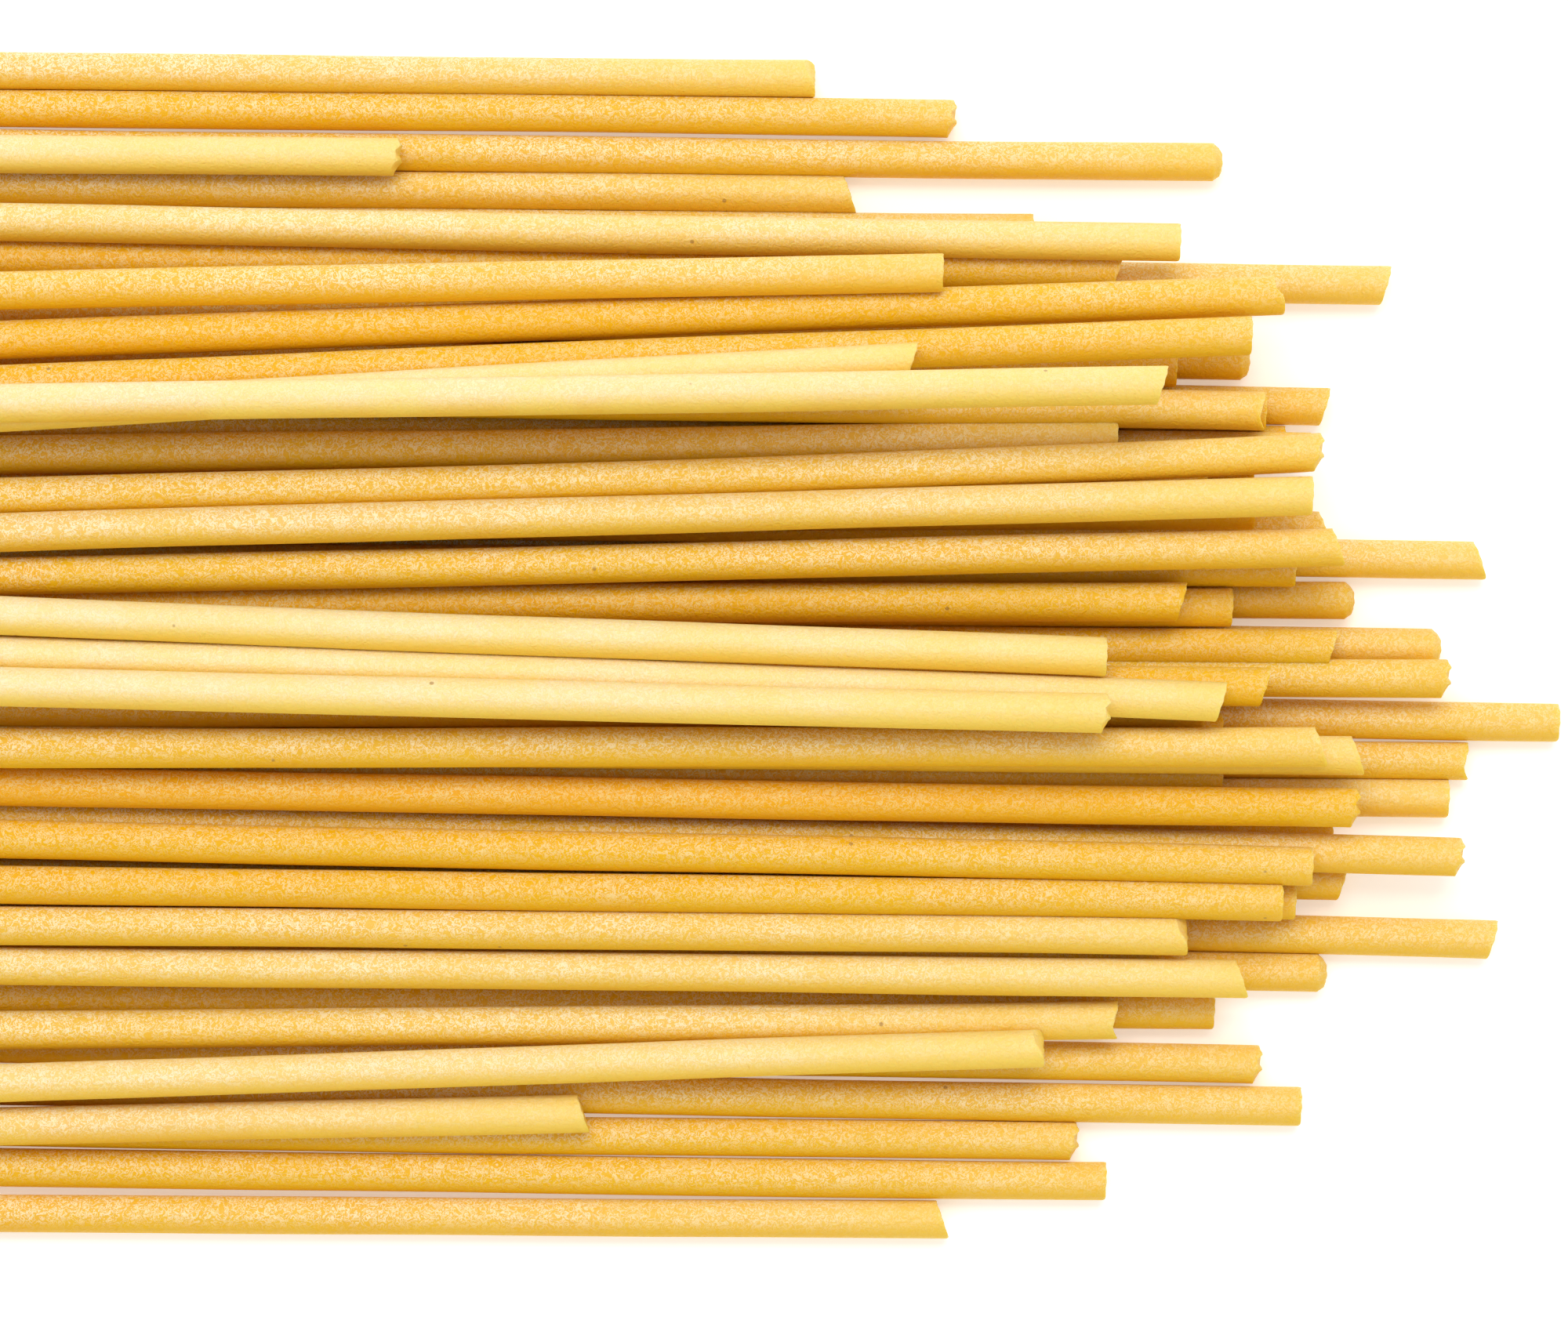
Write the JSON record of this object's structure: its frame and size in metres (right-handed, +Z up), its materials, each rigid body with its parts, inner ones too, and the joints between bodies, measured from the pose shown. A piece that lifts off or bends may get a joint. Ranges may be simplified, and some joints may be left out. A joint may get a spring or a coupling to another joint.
{
  "type": "bundle of dry spaghetti",
  "caption": "Loose bundle of long dry spaghetti strands, nearly parallel, with ragged ends, lying flat in a low heap.",
  "frame": {"origin": "the middle of the bundle's box at the height of the table it lies on", "axes": "+X along the strands towards the ragged end that is shown, +Y across the bundle, +Z up"},
  "size_m": [0.293, 0.061, 0.0122],
  "materials": {
    "dry_pasta": "matt pale gold, slightly rough and a little translucent"
  },
  "bodies": {
    "root": {"spaghetti_bundle": "dry_pasta"}
  },
  "joints": []
}
